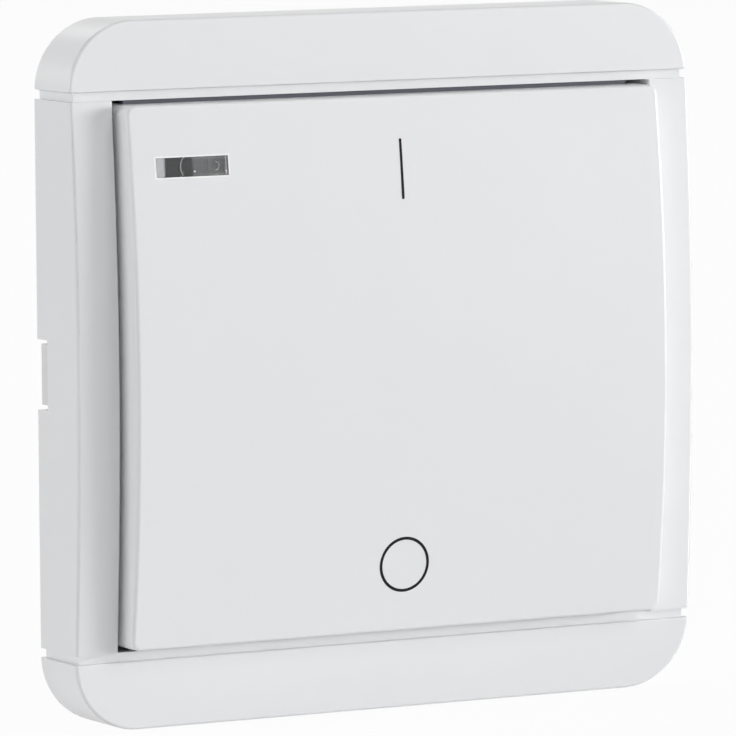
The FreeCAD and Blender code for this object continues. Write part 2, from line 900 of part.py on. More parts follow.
def rocker_profile(inset, back):
    # the closed side outline of the rocker, or of a surface this far inside it
    wall_z = half_rocker_z - inset
    edge = rocker_front(wall_z, inset)
    return [(-back, wall_z), (-edge, wall_z, size.rocker_arch - inset), (-edge, -wall_z),
            (-back, -wall_z)]


def make_rocker():
    body = new_body("rocker")
    shell = side_sketch(body)
    loop(shell, rocker_profile(0, rocker_back))
    pad(body, shell, 2 * half_rocker_x, centred=True)

    # small upright corners
    corners = front_sketch(body)
    centred_rectangle(corners, half_rocker_x + size.overrun, half_rocker_z + size.overrun)
    centred_rounded(corners, half_rocker_x, half_rocker_z, size.rocker_corner)
    pocket_forward(body, corners, rocker_depth + size.overrun)
    round_edges(body, size.rocker_edge_round, on_rocker_rim)

    hollow = side_sketch(body)
    loop(hollow, rocker_profile(size.rocker_wall, rocker_back - size.overrun))
    pocket_across(body, hollow, 2 * rocker_inner_x)

    # the end walls stop short of the frame's sills
    ends = front_sketch(body, rocker_back)
    wall_inner_z = half_rocker_z - size.rocker_wall
    beyond_z = half_rocker_z + size.overrun
    for low_z, high_z in ((wall_inner_z, beyond_z), (-beyond_z, -wall_inner_z)):
        rectangle(ends, -rocker_inner_x, rocker_inner_x, low_z, high_z)
    pocket_forward(body, ends, rocker_end_back - rocker_back)

    # shallow ribs under the face, kept short of the window's flange
    rib_length = size.rocker_rib_height + size.rocker_rib_root
    ribs = front_sketch(body, rib_back)
    rib_end = (window_z - size.window_height / 2 - size.window_flange
               - size.rocker_rib_end_gap)
    for x in (-size.rocker_rib_far, -size.rocker_rib_near,
              size.rocker_rib_near, size.rocker_rib_far):
        rectangle(ribs, *around(x, size.rocker_rib_wall), -rib_end, rib_end)
    pad(body, ribs, rib_length)
    for z in (-size.rocker_cross_rib, size.rocker_cross_rib):
        cross_rib = front_sketch(body, rib_back)
        rectangle(cross_rib, -rocker_inner_x, rocker_inner_x, *around(z, size.rocker_rib_wall))
        pad(body, cross_rib, rib_length)

    # pads that press the two plungers
    pads = front_sketch(body, plunger_front + size.press_gap)
    for side in both_sides:
        circle(pads, 0, side * switch_z, size.pad_radius)
    pad(body, pads, rocker_depth - size.rocker_wall - plunger_front - size.press_gap)

    # pivot bosses and pins on the side walls
    for start in (pivot_boss_face, -rocker_inner_x):
        boss = side_sketch(body, start)
        circle(boss, -pivot_depth, 0, size.pivot_boss_radius)
        pad(body, boss, size.pivot_boss_length)
    for start in (pivot_boss_face - size.pivot_length, -pivot_boss_face):
        pin = side_sketch(body, start)
        circle(pin, -pivot_depth, 0, size.pivot_radius)
        pad(body, pin, size.pivot_length)

    # aperture of the indicator
    aperture = front_sketch(body, rocker_depth)
    rectangle(aperture, *around(window_x, size.window_width + 2 * size.window_gap),
              *around(window_z, size.window_height + 2 * size.window_gap))
    pocket_back(body, aperture, rocker_depth - cover_front)
    return body


def on_rocker_rim(x, depth, z):
    # the closed edge round the arched face
    return near(depth, rocker_front(as_dim(abs(z))))


def make_indicator_window():
    # a clear lens in the rocker's face, with a flange that bears on the inside of the face
    body = new_body("indicator_window")
    low = window_z - size.window_height / 2
    high = window_z + size.window_height / 2
    lens_back = size.window_flange_thickness / 2
    lens = side_sketch(body, window_x)
    loop(lens, [
        (-rocker_front(low, size.rocker_wall) + lens_back, low),
        (-rocker_front(high, size.rocker_wall) + lens_back, high),
        (-rocker_front(high) + size.window_sink, high),
        (-rocker_front(low) + size.window_sink, low)])
    pad(body, lens, size.window_width, centred=True)
    foot_low = low - size.window_flange
    foot_high = high + size.window_flange
    foot = side_sketch(body, window_x)
    seat = [-rocker_front(z, size.rocker_wall) for z in (foot_low, foot_high)]
    loop(foot, [
        (seat[0] + size.window_flange_thickness, foot_low),
        (seat[1] + size.window_flange_thickness, foot_high),
        (seat[1], foot_high),
        (seat[0], foot_low)])
    pad(body, foot, size.window_width + 2 * size.window_flange, centred=True)
    return body


def make_circuit_board():
    body = new_body("circuit_board")
    outline = front_sketch(body, board_back)
    centred_rounded(outline, tray_inner_x - size.board_gap, tray_inner_z - size.board_gap,
                    tray_inner_corner)
    for x_side in both_sides:
        for z_side in both_sides:
            circle(outline, x_side * size.board_screw_x, z_side * board_screw_z,
                   size.board_screw_radius + size.screw_hole_gap)
    pad(body, outline, size.board_thickness)
    # reliefs round the screw bosses and the wall screw housings
    reliefs = front_sketch(body, board_back)
    for x_side in both_sides:
        circle(reliefs, x_side * screw_x, 0,
               size.well_radius + size.well_wall + size.board_relief)
        for z_side in both_sides:
            circle(reliefs, x_side * cover_screw_x, z_side * size.cover_screw_z,
                   size.boss_radius + size.board_relief)
    pocket_forward(body, reliefs, size.board_thickness)
    return body


def make_switch(name, side):
    z = side * switch_z
    switch_body = new_body(f"{name}_switch_body")
    outline = front_sketch(switch_body, board_front)
    centred_rectangle(outline, half_switch, half_switch)
    pad(switch_body, outline, switch_front - board_front)
    bore = front_sketch(switch_body, switch_front)
    circle(bore, 0, 0, size.switch_bore_radius)
    pocket_back(switch_body, bore, switch_front - board_front - size.switch_floor)
    move_to(switch_body, 0, z)

    # folded steel cover with two ears down the sides
    cover = new_body(f"{name}_switch_cover")
    plate = front_sketch(cover, switch_front)
    centred_rectangle(plate, half_switch + size.switch_sheet, half_switch)
    circle(plate, 0, 0, size.plunger_radius + size.screw_hole_gap)
    pad(cover, plate, size.switch_sheet)
    ears = front_sketch(cover, switch_front - size.switch_ear)
    for left, right in ((half_switch, half_switch + size.switch_sheet),
                        (-half_switch - size.switch_sheet, -half_switch)):
        rectangle(ears, left, right, -half_switch / 2, half_switch / 2)
    pad(cover, ears, size.switch_ear)
    move_to(cover, 0, z)

    flange_front = plunger_back + size.plunger_flange
    edge = plunger_front - size.plunger_edge
    plunger = turned(f"{name}_plunger", 0, z, [
        (plunger_back, 0), (plunger_front, 0),
        (plunger_front, size.plunger_radius - size.plunger_edge),
        (edge, size.plunger_radius),
        (flange_front, size.plunger_radius), (flange_front, size.plunger_flange_radius),
        (plunger_back, size.plunger_flange_radius)])
    return [switch_body, cover, plunger]


def make_snap_domes():
    domes = []
    floor = board_front + size.switch_floor
    ball = (size.dome_radius * size.dome_radius / size.dome_height + size.dome_height) / 2
    inner_ball = ball - size.dome_sheet
    inner_radius = root(inner_ball * inner_ball
                        - (ball - size.dome_height) * (ball - size.dome_height))
    for side in both_sides:
        domes.append(turned("dome", 0, side * switch_z, [
            (floor, inner_radius),
            (floor, size.dome_radius, ball),
            (floor + size.dome_height, 0),
            (floor + size.dome_height - size.dome_sheet, 0)]))
    return grouped("snap_domes", domes)


def make_switch_terminals():
    leads = []
    for side in both_sides:
        for x_side in both_sides:
            for z_side in both_sides:
                ends = (x_side * half_switch, x_side * (half_switch + size.terminal_reach))
                z = side * switch_z + z_side * size.terminal_spacing / 2
                leads.append(block(
                    "terminal", ends if x_side > 0 else ends[::-1],
                    (board_front, board_front + size.terminal_sheet),
                    around(z, size.terminal_width)))
    return grouped("switch_terminals", leads)


def make_indicator_led():
    front = cover_front + size.led_proud
    return turned("indicator_led", led_x, led_z, [
        (board_front, 0), (board_front, size.led_radius),
        (front - size.led_edge, size.led_radius),
        (front, size.led_radius - size.led_edge), (front, 0)][::-1])


def make_led_shroud():
    # a black box over the indicator lamp that fills the window in the cover
    across = (shroud_left, shroud_left + size.shroud_width)
    upright = around(led_z, size.shroud_height)
    outer = block("shroud_outer", across, (board_front, cover_front), upright)
    hollow = block(
        "shroud_hollow", (across[0] + size.shroud_wall, across[1] - size.shroud_wall),
        (board_front, cover_front - size.shroud_wall),
        (upright[0] + size.shroud_wall, upright[1] - size.shroud_wall))
    hole = disc("shroud_hole", led_x, led_z, (board_front, cover_front),
                size.led_radius + size.shroud_gap)
    return cut("led_shroud", outer, fused("shroud_inside", [hollow, hole]))


def make_battery():
    shoulder = battery_back + size.battery_can_edge
    return turned("coin_battery", 0, 0, [
        (battery_back, 0), (battery_front, 0),
        (battery_front, size.battery_radius - size.battery_can_edge),
        (battery_front - size.battery_can_edge, size.battery_radius),
        (shoulder, size.battery_radius),
        (shoulder, size.battery_radius - size.battery_can_edge),
        (battery_back, size.battery_radius - 2 * size.battery_can_edge)])


def make_battery_holder():
    # a ring with an open floor slot for the contact under the cell
    body = new_body("battery_holder")
    outline = front_sketch(body, board_front)
    circle(outline, 0, 0, holder_radius)
    pad(body, outline, size.holder_height)
    well = front_sketch(body, board_front + size.holder_height)
    circle(well, 0, 0, size.battery_radius + size.holder_gap)
    pocket_back(body, well, size.holder_height - size.battery_lift)
    slot = front_sketch(body, board_front)
    reach = size.contact_width / 2 + size.holder_gap
    rectangle(slot, -holder_radius, size.contact_disc_radius + size.holder_gap, -reach, reach)
    circle_reach = size.contact_disc_radius + size.holder_gap
    pocket_forward(body, slot, size.battery_lift)
    eye = front_sketch(body, board_front)
    circle(eye, 0, 0, circle_reach)
    pocket_forward(body, eye, size.battery_lift)
    return body


def make_battery_contacts():
    strip_front = board_front + size.contact_sheet
    strip = block("contact_strip", (-holder_radius, 0), (board_front, strip_front),
                  around(as_dim(0), size.contact_width))
    button = disc("contact_button", 0, 0, (board_front, battery_back), size.contact_disc_radius)
    negative = fused("battery_negative_contact", [strip, button])

    # spring strip over the cell, folded down to the board on both sides
    leg = holder_radius + size.clip_leg_gap
    outer = leg + size.contact_sheet
    width = around(as_dim(0), size.clip_strip_width)
    top = block("clip_top", (-outer, outer),
                (battery_front, battery_front + size.contact_sheet), width)
    legs = [block("clip_leg", span, (board_front, battery_front), width)
            for span in ((leg, outer), (-outer, -leg))]
    positive = fused("battery_positive_clip", [top] + legs)
    return [negative, positive]


def make_chip(name, x, z, pins):
    # a small outline package with a row of folded leads down each side
    length = pins * size.chip_lead_spacing + size.chip_end_margin - size.chip_lead_width
    back = board_front + size.chip_lift
    half = size.chip_width / 2
    middle = back + size.chip_height / 2
    pieces = [block(f"{name}_body", around(x, size.chip_width),
                    (back, back + size.chip_height), around(z, length))]
    for side in both_sides:
        foot = (x + side * half, x + side * (half + size.chip_lead_reach))
        bend = (x + side * half,
                x + side * (half + size.chip_lead_sheet + size.chip_lead_reach / 2))
        for pin in range(pins):
            level = around(z + (pin - (pins - 1) / 2) * size.chip_lead_spacing, size.chip_lead_width)
            knee = (bend[1] - side * size.chip_lead_sheet, bend[1])
            toe = (knee[0], foot[1])
            for span, depth in (
                    (bend, (middle, middle + size.chip_lead_sheet)),
                    (knee, (board_front, middle + size.chip_lead_sheet)),
                    (toe, (board_front, board_front + size.chip_lead_sheet))):
                pieces.append(block(f"{name}_lead", span if side > 0 else span[::-1],
                                    depth, level))
    return fused(name, pieces)


def make_resonator_can():
    body = new_body("resonator_can")
    base = front_sketch(body, board_front)
    half_length = size.can_length / 2
    half_can = size.can_width / 2
    centred_rounded(base, half_length, half_can, half_can - size.can_flange)
    pad(body, base, size.can_flange)
    can = front_sketch(body, board_front + size.can_flange)
    centred_rounded(can, half_length - size.can_flange, half_can - size.can_flange,
                    half_can - 2 * size.can_flange)
    pad(body, can, size.can_height - size.can_flange)
    top = board_front + size.can_height
    chamfer_edges(body, size.can_edge, lambda x, depth, z: near(depth, top))
    move_to(body, size.can_x, size.can_z)
    return body


def make_strip_antenna():
    # a strip of sheet metal that stands off the board on a leg at each end
    x = half_board_x - size.antenna_inset
    low = size.antenna_end_margin - half_board_z
    high = low + size.antenna_length
    across = around(x, size.antenna_width)
    top = board_front + size.antenna_stand
    strip = block("antenna_strip", across, (top, top + size.antenna_sheet), (low, high))
    legs = [block("antenna_leg", across, (board_front, top), span)
            for span in ((low, low + size.antenna_sheet), (high - size.antenna_sheet, high))]
    return fused("strip_antenna", [strip] + legs)


def make_chip_parts(name, x, z, rows, columns):
    parts = []
    for row in range(rows):
        for column in range(columns):
            parts.append(block(
                "chip_part",
                around(x + column * size.chip_part_step, size.chip_part_width),
                (board_front, board_front + size.chip_part_height),
                around(z + row * size.chip_part_step, size.chip_part_length)))
    return grouped(name, parts)


def make_screws(name, places, seat, reach, radius, head_radius, head):
    # pan heads with a round driver recess, threads left plain
    screws = []
    recess = seat + head - size.driver_depth
    for x, z in places:
        screws.append(turned("screw", x, z, [
            (seat - reach, 0), (recess, 0), (recess, size.driver_radius),
            (seat + head, size.driver_radius),
            (seat + head, head_radius - size.screw_head_edge),
            (seat + head - size.screw_head_edge, head_radius),
            (seat, head_radius), (seat, radius), (seat - reach, radius)]))
    return grouped(name, screws)


def corners_of(x, z):
    return [(x_side * x, z_side * z) for x_side in both_sides for z_side in both_sides]


nodes = [
    make_surround_frame(),
    make_mounting_plate(),
    make_module_base(),
    make_module_cover(),
    make_rocker(),
    make_indicator_window(),
    make_circuit_board(),
    *make_switch("on", 1),
    *make_switch("off", -1),
    make_snap_domes(),
    make_switch_terminals(),
    make_indicator_led(),
    make_led_shroud(),
    make_battery(),
    make_battery_holder(),
    *make_battery_contacts(),
    make_chip("control_chip", size.control_chip_x, size.control_chip_z, 7),
    make_chip("transmitter_chip", size.transmitter_chip_x, size.transmitter_chip_z, 4),
    make_resonator_can(),
    make_strip_antenna(),
    make_chip_parts("chip_capacitors", size.capacitor_x, size.capacitor_z, 3, 2),
    make_chip_parts("chip_resistors", size.resistor_x, size.resistor_z, 3, 1),
    make_screws("board_screws", corners_of(size.board_screw_x, board_screw_z),
                board_front, size.board_thickness + size.standoff_height,
                size.board_screw_radius, size.board_screw_head_radius, size.board_screw_head),
    make_screws("cover_screws", corners_of(cover_screw_x, size.cover_screw_z),
                cover_front, cover_screw_reach,
                size.cover_screw_radius, size.cover_screw_head_radius, size.cover_screw_head),
]
doc.recompute()

for item in doc.Objects:
    if "Invalid" in item.State or "Error" in item.State:
        raise RuntimeError(f"{item.Label} failed: {item.State}")
for body in doc.findObjects("PartDesign::Body"):
    volume = 0.0
    for feature in body.Group:
        if feature.isDerivedFrom("PartDesign::Feature"):
            if abs(feature.Shape.Volume - volume) < 1e-6:
                raise RuntimeError(f"{feature.Label} changes nothing")
            volume = feature.Shape.Volume
for node in nodes:
    if node.Shape.isNull() or not node.Shape.isValid():
        raise RuntimeError(f"{node.Label} has no valid shape")

os.makedirs("parts", exist_ok=True)
for node in nodes:
    node.Shape.exportStep(f"parts/{node.Label}.step")
print(f"{len(nodes)} sub-parts written")
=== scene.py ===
import json
import math

import bmesh
import bpy
from mathutils import Matrix, Vector


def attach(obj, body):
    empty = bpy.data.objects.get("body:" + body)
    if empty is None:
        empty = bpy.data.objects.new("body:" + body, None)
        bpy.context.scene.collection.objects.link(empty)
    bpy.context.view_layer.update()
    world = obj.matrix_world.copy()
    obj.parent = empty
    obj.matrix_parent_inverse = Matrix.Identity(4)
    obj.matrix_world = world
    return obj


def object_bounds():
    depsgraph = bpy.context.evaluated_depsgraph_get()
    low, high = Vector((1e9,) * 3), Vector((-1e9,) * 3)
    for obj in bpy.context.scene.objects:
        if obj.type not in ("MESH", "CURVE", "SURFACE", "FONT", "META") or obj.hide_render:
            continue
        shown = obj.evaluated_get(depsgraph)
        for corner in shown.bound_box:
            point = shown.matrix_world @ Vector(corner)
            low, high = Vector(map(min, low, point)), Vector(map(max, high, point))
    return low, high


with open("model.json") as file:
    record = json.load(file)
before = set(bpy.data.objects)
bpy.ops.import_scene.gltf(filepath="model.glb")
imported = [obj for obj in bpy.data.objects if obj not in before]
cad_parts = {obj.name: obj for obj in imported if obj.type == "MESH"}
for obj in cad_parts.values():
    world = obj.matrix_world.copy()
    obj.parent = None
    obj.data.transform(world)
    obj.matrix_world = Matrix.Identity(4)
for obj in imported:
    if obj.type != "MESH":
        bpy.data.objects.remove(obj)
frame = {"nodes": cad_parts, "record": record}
cadLow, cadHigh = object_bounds()
mm = 0.001
print("frame loaded,", len(frame["nodes"]), "nodes")

camera = {
    # the photo's view: degrees, then millimetres, and the clip distances in metres
    "azimuth": -28.503, "elevation": 5.638, "roll": -0.433,
    "distance": 916.07, "aim": (0.34, -4.0, -1.237),
    "lens": 363.08, "sensor": 36.0, "clip": (0.05, 20),
}


def fromAngles(azimuth, elevation):
    # unit vector from the switch towards a camera or lamp; azimuth 0 is straight in front
    a, e = math.radians(azimuth), math.radians(elevation)
    return Vector((math.sin(a) * math.cos(e), -math.cos(a) * math.cos(e), math.sin(e)))


def makeCamera():
    back = fromAngles(camera["azimuth"], camera["elevation"])
    aim = Vector(camera["aim"]) * mm
    right = Vector((0, 0, 1)).cross(back).normalized()
    up = back.cross(right)
    roll = math.radians(camera["roll"])
    rolledRight = right * math.cos(roll) + up * math.sin(roll)
    rolledUp = up * math.cos(roll) - right * math.sin(roll)
    data = bpy.data.cameras.new("photoCamera")
    data.lens = camera["lens"]
    data.sensor_width = camera["sensor"]
    data.clip_start, data.clip_end = camera["clip"]
    seen = bpy.data.objects.new("photoCamera", data)
    place = aim + back * camera["distance"] * mm
    turn = Matrix((rolledRight, rolledUp, back)).transposed().to_4x4()
    seen.matrix_world = Matrix.Translation(place) @ turn
    bpy.context.scene.collection.objects.link(seen)
    bpy.context.scene.camera = seen


makeCamera()
print("camera placed")

lamps = {
    # name: azimuth, elevation, distance, width and height in metres, watts
    "front": (-15, 9, 2.4, 0.7, 0.7, 10.0),
    "frontRight": (30, 38, 2.4, 0.9, 0.9, 12.2),
    "lowRight": (58, 6, 2.4, 1.3, 0.5, 38.5),
    "left": (-100, 14, 2.4, 0.9, 0.9, 23.5),
    "backLeft": (-140, 14, 2.4, 0.9, 0.9, 5.0),
    "behind": (180, 45, 2.4, 0.9, 0.9, 15.0),
    "above": (0, 89, 2.4, 0.9, 0.9, 5.0),
}


def makeLamps():
    for name, (azimuth, elevation, distance, width, height, watts) in lamps.items():
        data = bpy.data.lights.new(name, "AREA")
        data.shape = "ELLIPSE"
        data.size = width
        data.size_y = height
        data.energy = watts
        lamp = bpy.data.objects.new(name, data)
        towards = fromAngles(azimuth, elevation)
        lamp.location = towards * distance
        lamp.rotation_mode = "QUATERNION"
        lamp.rotation_quaternion = towards.to_track_quat("Z", "Y")
        bpy.context.scene.collection.objects.link(lamp)


class Link:
    # a node's output, so that shader maths is written as expressions

    def __init__(self, nodes, socket):
        self.nodes = nodes
        self.socket = socket

    def maths(self, operation, *values):
        return self.nodes.add("ShaderNodeMath", {"operation": operation}, dict(enumerate(values)))

    def beside(self, name):
        # another output of the same node
        return Link(self.nodes, self.socket.node.outputs[name])

    def __add__(self, other):
        return self.maths("ADD", self, other)

    def __radd__(self, other):
        return self.maths("ADD", other, self)

    def __sub__(self, other):
        return self.maths("SUBTRACT", self, other)

    def __rsub__(self, other):
        return self.maths("SUBTRACT", other, self)

    def __mul__(self, other):
        return self.maths("MULTIPLY", self, other)

    def __rmul__(self, other):
        return self.maths("MULTIPLY", other, self)

    def __truediv__(self, other):
        return self.maths("DIVIDE", self, other)

    def __rtruediv__(self, other):
        return self.maths("DIVIDE", other, self)

    def __lt__(self, other):
        return self.maths("LESS_THAN", self, other)

    def __gt__(self, other):
        return self.maths("GREATER_THAN", self, other)

    def absolute(self):
        return self.maths("ABSOLUTE", self)

    def root(self):
        return self.maths("SQRT", self)

    def wave(self):
        return self.maths("SINE", self)

    def either(self, other):
        return self.maths("MAXIMUM", self, other)


class Nodes:
    # the nodes of a material or of the world

    def __init__(self, tree):
        self.tree = tree

    def put(self, socket, value):
        if isinstance(value, Link):
            self.tree.links.new(value.socket, socket)
        else:
            socket.default_value = value

    def add(self, kind, settings, values, output=0):
        # settings first, then the sockets, each with a number or a link
        node = self.tree.nodes.new(kind)
        for name, value in settings.items():
            setattr(node, name, value)
        for name, value in values.items():
            self.put(node.inputs[name], value)
        return Link(self, node.outputs[output])

    def mix(self, factor, first, second):
        # two shaders in one
        return self.add("ShaderNodeMixShader", {}, {0: factor, 1: first, 2: second})

    def show(self, shader):
        # sends a shader to the tree's output
        output = next(node for node in self.tree.nodes if node.type.startswith("OUTPUT"))
        self.put(output.inputs["Surface"], shader)

    def seenDirectly(self):
        # 1 for what the camera sees straight, in a gloss or through a clear piece, else 0
        straight = self.add("ShaderNodeLightPath", {}, {}, "Is Camera Ray")
        glossy = straight.beside("Is Glossy Ray")
        return straight.either(glossy).either(straight.beside("Is Transmission Ray"))


class Finish(Nodes):
    # one material, with a method for each thing that its nodes do

    def __init__(self, name):
        self.material = bpy.data.materials.new(name)
        self.material.use_nodes = True
        super().__init__(self.material.node_tree)
        self.shader = self.tree.nodes["Principled BSDF"]

    def surface(self):
        return Link(self, self.shader.outputs["BSDF"])

    def set(self, **values):
        for name, value in values.items():
            self.put(self.shader.inputs[name.replace("_", " ")], value)

    def place(self):
        return self.add("ShaderNodeTexCoord", {}, {}, "Object")

    def axes(self):
        # x, y and z of a point in metres, as three links
        split = self.add("ShaderNodeSeparateXYZ", {}, {"Vector": self.place()})
        return [split.beside(name) for name in "XYZ"]

    def fade(self, value, low, high):
        # 0 at low, 1 at high and a smooth step between; low may be the larger
        return self.add("ShaderNodeMapRange", {"interpolation_type": "SMOOTHSTEP"}, {
            "Value": value, "From Min": low, "From Max": high})

    def noise(self, scale, detail=2.0, roughness=0.5, at=None):
        return self.add("ShaderNodeTexNoise", {}, {
            "Vector": at or self.place(), "Scale": scale, "Detail": detail,
            "Roughness": roughness})

    def blend(self, factor, first, second):
        # sockets 6 and 7 and output 2 are the Mix node's colours
        return self.add("ShaderNodeMix", {"data_type": "RGBA"}, {
            "Factor": factor, 6: first, 7: second}, 2)

    def bump(self, height, strength, distance):
        return self.add("ShaderNodeBump", {}, {
            "Height": height, "Strength": strength, "Distance": distance})


noiseMiddle = 0.5  # a noise texture varies about this


def rgba(colour, factor=1.0):
    # a colour as a socket takes it, lighter or darker by a factor
    return (*(channel * factor for channel in colour), 1.0)


def placeMesh(name, build, material):
    # makes a bmesh an object of the scene
    mesh = bpy.data.meshes.new(name)
    build.to_mesh(mesh)
    build.free()
    mesh.materials.append(material)
    placed = bpy.data.objects.new(name, mesh)
    bpy.context.scene.collection.objects.link(placed)
    return placed


studio = {
    # strength of the world as a light, its colour, the strength with which it is seen, and the
    # floor's share of that white
    "ambient": 0.0, "backdrop": (1.0, 1.0, 1.0), "white": 1.0, "whiteShare": 0.95,
    "floorColour": (0.92, 0.92, 0.925), "floorRoughness": 0.9, "floorSquares": 8,
    "floorHalf": 6.0,  # metres
    "floorDrop": 0.3,  # millimetres below the switch
}


def makeFloor():
    finish = Finish("paleFloor")
    finish.set(
        Base_Color=rgba(studio["floorColour"]), Roughness=studio["floorRoughness"],
        Specular_IOR_Level=0.0)
    white = finish.add("ShaderNodeEmission", {}, {"Strength": studio["white"]})
    share = finish.seenDirectly() * studio["whiteShare"]
    finish.show(finish.mix(share, finish.surface(), white))
    build = bmesh.new()
    squares = studio["floorSquares"]
    bmesh.ops.create_grid(build, x_segments=squares, y_segments=squares, size=studio["floorHalf"])
    drop = cadLow.z - studio["floorDrop"] * mm
    bmesh.ops.translate(build, verts=build.verts, vec=(0, 0, drop))
    floor = placeMesh("floor", build, finish.material)


def makeWorld():
    world = bpy.data.worlds.new("studio")
    bpy.context.scene.world = world
    world.use_nodes = True
    nodes = Nodes(world.node_tree)
    colour = rgba(studio["backdrop"])
    dim = nodes.add("ShaderNodeBackground", {}, {"Color": colour, "Strength": studio["ambient"]})
    white = nodes.add("ShaderNodeBackground", {}, {"Color": colour, "Strength": studio["white"]})
    nodes.show(nodes.mix(nodes.seenDirectly(), dim, white))


bpy.context.scene.view_settings.view_transform = "Standard"
makeLamps()
makeFloor()
makeWorld()
print("light and floor set")

plastics = {
    # slot: colour, roughness, patches per metre, depth of the grain in millimetres
    "white_moulding": ((0.80, 0.806, 0.815), 0.30, 900, 0.0015),
    "plate_moulding": ((0.74, 0.745, 0.75), 0.48, 1500, 0.006),
    "module_moulding": ((0.66, 0.665, 0.67), 0.50, 1500, 0.006),
    "black_moulding": ((0.022, 0.022, 0.025), 0.45, 2500, 0.006),
    "chip_resin": ((0.030, 0.030, 0.033), 0.55, 6000, 0.008),
    "capacitor_ceramic": ((0.42, 0.30, 0.18), 0.60, 5000, 0.004),
    "resistor_ceramic": ((0.05, 0.05, 0.055), 0.50, 5000, 0.004),
}
moulded = {
    # shared by all plastics: how many times wider than a patch the mottle is, and finer the grain
    "mottleWider": 12, "mottleDetail": 3.0, "grainFiner": 4, "grainRoughness": 0.6,
    "darker": 0.985, "roughnessSpread": 0.05, "bumpStrength": 0.5, "ior": 1.5,
}
windowHighlightRing = {
    # painted highlight: a lighter ring on the rocker round the window, standing in for the light
    # that its moulded edge catches, in millimetres
    "centre": (-28.6, 25.4), "half": (4.89, 1.19), "width": 0.20, "soft": 0.6,
    "colour": (0.99, 0.99, 0.99),
}
paintedShelfShade = {
    # painted shade: the two narrow shelves behind the rocker's ends are coloured dark grey for the
    # shade in the gaps, in millimetres
    "reach": (35.2, 33.38), "depth": 8.2, "colour": (0.14, 0.148, 0.178),
}


def makePlastic(slot, name="", rim=None, shelfShade=None):
    colour, roughness, patches, depth = plastics[slot]
    finish = Finish(name or slot)
    mottle = finish.noise(patches / moulded["mottleWider"], moulded["mottleDetail"])
    grain = finish.noise(patches * moulded["grainFiner"], roughness=moulded["grainRoughness"])
    tone = finish.blend(mottle, rgba(colour, moulded["darker"]), rgba(colour))
    if rim:
        # painted highlight: a lighter ring round the window, where the moulded edge catches the
        # light
        x, _, z = finish.axes()
        beside = (x - rim["centre"][0] * mm).absolute() - rim["half"][0] * mm
        above = (z - rim["centre"][1] * mm).absolute() - rim["half"][1] * mm
        off = beside.either(above) / mm
        highlightShare = finish.fade(off, rim["width"], rim["width"] * rim["soft"])
        tone = finish.blend(highlightShare, tone, rgba(rim["colour"]))
    if shelfShade:
        # painted shade: the shelves behind the rocker's ends take a dark colour in place of the
        # shade that falls there
        x, y, z = finish.axes()
        across, upright = shelfShade["reach"]
        inside = (x.absolute() < across * mm) * (z.absolute() < upright * mm)
        tone = finish.blend(inside * (y > -shelfShade["depth"] * mm), tone, rgba(shelfShade["colour"]))
    spread = moulded["roughnessSpread"]
    finish.set(
        Base_Color=tone,
        Roughness=mottle * spread + (roughness - spread / 2),
        Normal=finish.bump(grain, moulded["bumpStrength"], depth * mm),
        IOR=moulded["ior"])
    return finish.material


metals = {
    # slot: colour, roughness, stretch of the grain along x
    "spring_steel": ((0.62, 0.62, 0.63), 0.30, 0.12),
    "tinned_lead": ((0.74, 0.74, 0.73), 0.38, 0.5),
    "steel_can": ((0.66, 0.66, 0.67), 0.28, 0.15),
    "cell_can": ((0.64, 0.64, 0.65), 0.26, 0.2),
    "screw_steel": ((0.60, 0.60, 0.62), 0.32, 1.0),
}
rolled = {
    # shared by all metals; the depth of the grain is in millimetres
    "grain": 9000.0, "grainDetail": 3.0, "darker": 0.9, "roughnessSpread": 0.14,
    "bumpStrength": 0.4, "depth": 0.002,
}


def makeMetal(slot):
    colour, roughness, stretch = metals[slot]
    finish = Finish(slot)
    stretched = finish.add("ShaderNodeMapping", {}, {
        "Vector": finish.place(), "Scale": (stretch, 1.0, 1.0)})
    grain = finish.noise(rolled["grain"], rolled["grainDetail"], at=stretched)
    spread = rolled["roughnessSpread"]
    finish.set(
        Base_Color=finish.blend(grain, rgba(colour, rolled["darker"]), rgba(colour)),
        Roughness=grain * spread + (roughness - spread / 2),
        Normal=finish.bump(grain, rolled["bumpStrength"], rolled["depth"] * mm),
        Metallic=1.0)
    return finish.material


lens = {
    # the clear window, in millimetres: its frosted left end, a painted reflection as a light veil
    # over its right half, thin moulded lines near its edges and a few painted glints
    "colour": (0.93, 0.95, 0.96), "roughness": 0.02, "ior": 1.49, "gloss": 0.05,
    "frost": (0.80, 0.805, 0.815), "frostRoughness": 0.4,
    "smear": 700.0, "smearDetail": 3.0, "smearRoughness": 0.04, "smearSheen": 0.05,
    "endAt": -32.46, "endShare": 0.36, "sheenFrom": -28.85, "sheenTo": -28.15, "sheenShare": 0.10,
    "lineAt": -24.03, "lineShare": 0.35, "lineWidth": 0.13, "lineSoft": 0.3,
    "edgeMiddle": 25.4, "edgeOff": 0.95, "edgeShare": 0.10,
    "glints": [  # centre, radius, strength
        ((-28.3, 24.82), 0.19, 0.90), ((-29.8, 24.80), 0.12, 0.40), ((-24.05, 24.75), 0.17, 0.90),
    ],
    "glintSoft": 0.3,
    "frontDepth": 13.2,  # only the front face, which stands further out, shows all this
}


